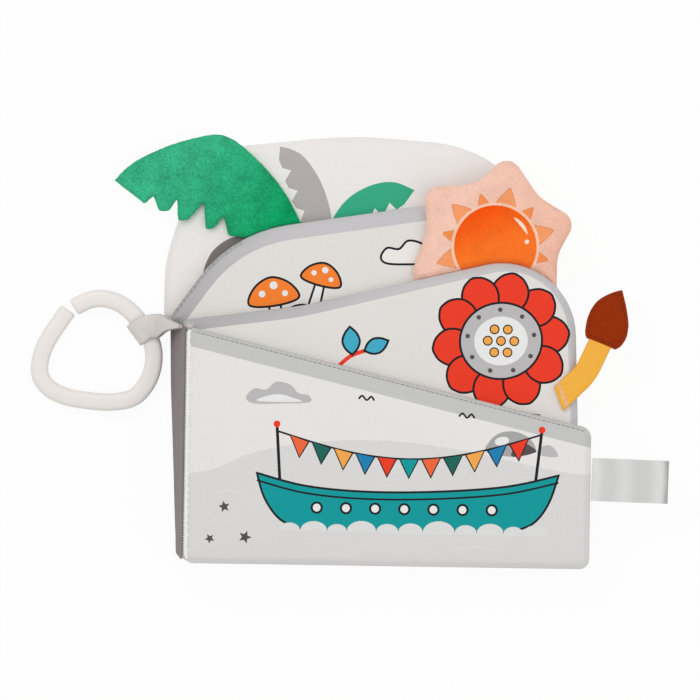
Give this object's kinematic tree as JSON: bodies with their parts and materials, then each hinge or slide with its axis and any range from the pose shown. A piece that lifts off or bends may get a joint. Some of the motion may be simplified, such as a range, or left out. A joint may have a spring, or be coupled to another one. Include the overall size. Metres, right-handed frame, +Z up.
{
  "type": "crinkle cloth book",
  "caption": "Soft crinkle cloth book with stepped padded leaves, plush flaps, a felt tail, a satin label and a clip-on plastic ring.",
  "frame": {"origin": "on the back leaf's flat rear side, near the middle of the leaf", "axes": "+Z up from the surface the book lies on, +Y along the gutter towards the head, +X from the gutter towards the fore edge"},
  "size_m": [0.3203, 0.2142, 0.0337],
  "materials": {
    "printed_cloth": "matt printed cloth",
    "rear_cloth": "matt printed cloth",
    "taupe_cloth": "matt dyed cloth",
    "wadding": "lofted fibre",
    "crinkle_film": "glossy thin film",
    "peach_plush": "short plush pile",
    "green_plush": "short plush pile",
    "yellow_ribbon": "matt woven tape",
    "brown_felt": "matt felt",
    "white_satin": "satin ribbon",
    "grey_webbing": "ribbed woven ribbon",
    "ring_plastic": "semi-gloss moulded"
  },
  "bodies": {
    "back_leaf": {"back_leaf_front_cloth": "printed_cloth", "back_leaf_rear_cloth": "rear_cloth", "back_leaf_crinkle_film": "crinkle_film", "back_leaf_wadding": "wadding", "spine_cloth": "taupe_cloth", "frond_foot": "green_plush"},
    "third_leaf": {"third_leaf_front_cloth": "printed_cloth", "third_leaf_rear_cloth": "rear_cloth", "third_leaf_crinkle_film": "crinkle_film", "third_leaf_wadding": "wadding", "sun_foot": "peach_plush"},
    "second_leaf": {"second_leaf_front_cloth": "printed_cloth", "second_leaf_rear_cloth": "rear_cloth", "second_leaf_crinkle_film": "crinkle_film", "second_leaf_wadding": "wadding"},
    "cover": {"cover_front_cloth": "printed_cloth", "cover_rear_cloth": "rear_cloth", "cover_crinkle_film": "crinkle_film", "cover_wadding": "wadding"},
    "sun": {"sun_front_plush": "peach_plush", "sun_rear_plush": "peach_plush", "sun_wadding": "wadding"},
    "frond": {"frond_front_plush": "green_plush", "frond_rear_plush": "green_plush", "frond_wadding": "wadding"},
    "tail": {"tail_strap": "yellow_ribbon", "tail_felt_front": "brown_felt", "tail_felt_rear": "brown_felt"},
    "label": {"satin_label": "white_satin"},
    "webbing": {"webbing_loop": "grey_webbing"},
    "ring": {"plastic_ring": "ring_plastic"}
  },
  "joints": [
    {"name": "third_leaf_turn", "type": "hinge", "parent": "back_leaf", "child": "third_leaf", "pos_m": [-0.09838, -0.096, 0.008], "axis": [0, 1, 0], "range_deg": [-110, 0], "deforming": ["spine_cloth"]},
    {"name": "second_leaf_turn", "type": "hinge", "parent": "third_leaf", "child": "second_leaf", "pos_m": [-0.09455, -0.096, 0.0216], "axis": [0, -1, 0], "range_deg": [0, 180], "deforming": ["spine_cloth"]},
    {"name": "cover_turn", "type": "hinge", "parent": "second_leaf", "child": "cover", "pos_m": [-0.09072, -0.096, 0.0257], "axis": [0, -1, 0], "range_deg": [0, 180], "deforming": ["spine_cloth"]},
    {"name": "sun_lift", "type": "hinge", "parent": "third_leaf", "child": "sun", "pos_m": [-0.03296, 0.03679, 0.0165], "axis": [0.9724, 0.2333, 0], "range_deg": [0, 45]},
    {"name": "frond_lift", "type": "hinge", "parent": "back_leaf", "child": "frond", "pos_m": [-0.06101, 0.07117, 0.0077], "axis": [0.9476, 0.3195, 0], "range_deg": [0, 45]},
    {"name": "tail_lift", "type": "hinge", "parent": "second_leaf", "child": "tail", "pos_m": [0.0976, -0.0116, 0.02435], "axis": [0.3649, -0.9311, 0], "range_deg": [0, 95]},
    {"name": "label_bend", "type": "hinge", "parent": "cover", "child": "label", "pos_m": [0.1142, -0.0512, 0.0293], "axis": [0, 1, 0], "range_deg": [-55, 45], "stiffness_Nm_per_rad": 0.0006},
    {"name": "webbing_swing", "type": "hinge", "parent": "back_leaf", "child": "webbing", "pos_m": [-0.09004, 0.0216, 0.0278], "axis": [0, 0, 1], "range_deg": [-35, 3], "deforming": ["webbing_loop"]},
    {"name": "ring_swing", "type": "hinge", "parent": "webbing", "child": "ring", "pos_m": [-0.1101, 0.0206, 0.005], "axis": [0.6004, -0.7997, 0], "range_deg": [0, 80]}
  ]
}
